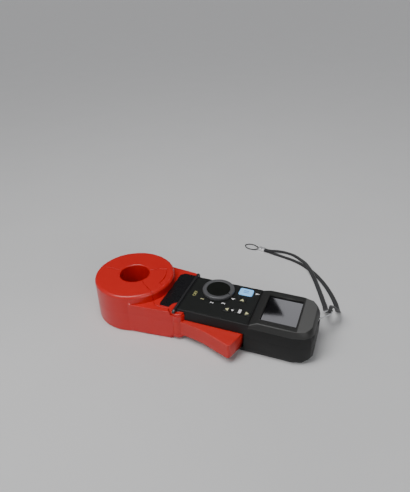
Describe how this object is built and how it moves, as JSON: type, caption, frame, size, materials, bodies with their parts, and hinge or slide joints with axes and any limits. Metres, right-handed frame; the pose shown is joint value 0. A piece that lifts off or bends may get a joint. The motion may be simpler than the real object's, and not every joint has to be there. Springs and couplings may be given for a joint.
{
  "type": "clamp-on earth resistance tester",
  "caption": "Clamp-on resistance tester with a red split jaw ring, trigger lever, black handle, rotary selector, keypad, display window and wrist strap.",
  "frame": {"origin": "centre of the conductor window of the closed jaws, at half their height", "axes": "+X from the jaws to the display end, +Y away from the trigger, +Z out of the face, along the window's axis"},
  "size_m": [0.2868, 0.2452, 0.05],
  "materials": {
    "red_shell": "moulded red ABS, satin gloss",
    "red_lever": "moulded red ABS, satin",
    "core_iron": "strip-wound magnetic core, lacquered",
    "shield_metal": "thin sheet shield",
    "natural_nylon": "natural nylon",
    "coil_wire": "enamelled copper winding",
    "lead_jacket": "lead insulation",
    "plate_black": "bare black plate",
    "guard_black": "moulded black, satin",
    "screw_steel": "zinc-plated screws",
    "pin_steel": "ground pins",
    "bush_bronze": "sintered bronze bush",
    "spring_steel": "spring steel",
    "housing_black": "moulded black, fine grain",
    "panel_film": "printed panel film, fine grain",
    "frame_black": "moulded black, satin",
    "lens_glass": "smoked acrylic window",
    "oled_glass": "unlit display panel",
    "flex_film": "polyimide flex",
    "board_green": "solder-resist board",
    "chip_black": "moulded chips",
    "buzzer_black": "moulded buzzer",
    "contact_gold": "gold-plated contact ring",
    "shaft_nylon": "natural acetal",
    "knob_grey": "moulded grey, satin",
    "disc_black": "inset black disc",
    "mat_silicone": "silicone key mat",
    "key_blue": "moulded pale blue",
    "key_black": "moulded black, fine grain",
    "cell_jacket": "plain cell jacket",
    "contact_nickel": "nickel-plated contacts",
    "hook_steel": "bent bright wire",
    "strap_braid": "flat black braid",
    "loop_cord": "thin black cord",
    "crimp_silver": "bright metal sleeve"
  },
  "bodies": {
    "body": {"head_shell_front": "red_shell", "head_shell_back": "red_shell", "fixed_core_sense": "core_iron", "fixed_core_drive": "core_iron", "fixed_shield": "shield_metal", "fixed_core_saddles": "natural_nylon", "sense_coil": "coil_wire", "drive_coil": "coil_wire", "coil_leads": "lead_jacket", "rating_plate": "plate_black", "hand_guard": "guard_black", "tie_screws": "screw_steel", "head_screws": "screw_steel", "hinge_pin": "pin_steel", "jaw_return_spring": "spring_steel", "front_housing": "housing_black", "back_housing": "housing_black", "housing_screws": "screw_steel", "panel_film": "panel_film", "display_frame": "frame_black", "display_lens": "lens_glass", "oled_module": "oled_glass", "display_flex": "flex_film", "main_board": "board_green", "board_chips": "chip_black", "board_screws": "screw_steel", "lead_connector": "natural_nylon", "buzzer": "buzzer_black", "selector_stator": "contact_gold", "keypad_mat": "mat_silicone", "battery_cells": "cell_jacket", "battery_contacts": "contact_nickel", "battery_cover": "housing_black", "cover_screw": "screw_steel", "strap_pin": "pin_steel"},
    "jaw": {"moving_jaw_front": "red_shell", "moving_jaw_back": "red_shell", "moving_core_sense": "core_iron", "moving_core_drive": "core_iron", "moving_shield": "shield_metal", "moving_core_saddles": "natural_nylon", "jaw_screws": "screw_steel", "trigger": "red_lever", "trigger_dowels": "pin_steel", "hinge_bush": "bush_bronze"},
    "selector": {"selector_shaft": "shaft_nylon", "selector_clip": "spring_steel", "selector_knob": "knob_grey", "selector_disc": "disc_black"},
    "key_hold": {"key_hold": "key_blue"},
    "key_up": {"key_up": "key_black"},
    "key_left": {"key_left": "key_black"},
    "key_right": {"key_right": "key_black"},
    "key_enter": {"key_enter": "key_black"},
    "hook": {"strap_hook": "hook_steel", "strap_bight": "strap_braid", "strap_strand_outer": "strap_braid", "strap_strand_inner": "strap_braid", "strap_crimp": "crimp_silver", "strap_loop": "loop_cord"}
  },
  "joints": [
    {"name": "jaw_hinge", "type": "hinge", "parent": "body", "child": "jaw", "pos_m": [0.07, -0.032, 0], "axis": [0, 0, 1], "range_deg": [0, 16], "stiffness_Nm_per_rad": 0.6, "springref_deg": -14.32, "deforming": ["jaw_return_spring"]},
    {"name": "selector_turn", "type": "hinge", "parent": "body", "child": "selector", "pos_m": [0.1023, 0.0131, 0.0137], "axis": [0, 0, 1], "range_deg": [-128, 0]},
    {"name": "key_hold_press", "type": "slide", "parent": "body", "child": "key_hold", "axis": [0, 0, -1], "range_m": [0, 0.0008], "stiffness_N_per_m": 1500, "deforming": ["keypad_mat"]},
    {"name": "key_up_press", "type": "slide", "parent": "body", "child": "key_up", "axis": [0, 0, -1], "range_m": [0, 0.0008], "stiffness_N_per_m": 1500, "deforming": ["keypad_mat"]},
    {"name": "key_left_press", "type": "slide", "parent": "body", "child": "key_left", "axis": [0, 0, -1], "range_m": [0, 0.0008], "stiffness_N_per_m": 1500, "deforming": ["keypad_mat"]},
    {"name": "key_right_press", "type": "slide", "parent": "body", "child": "key_right", "axis": [0, 0, -1], "range_m": [0, 0.0008], "stiffness_N_per_m": 1500, "deforming": ["keypad_mat"]},
    {"name": "key_enter_press", "type": "slide", "parent": "body", "child": "key_enter", "axis": [0, 0, -1], "range_m": [0, 0.0008], "stiffness_N_per_m": 1500, "deforming": ["keypad_mat"]},
    {"name": "hook_swivel", "type": "hinge", "parent": "body", "child": "hook", "pos_m": [0.216, 0.012, 0.004], "axis": [0, 0, 1], "range_deg": [-30, 10]}
  ]
}
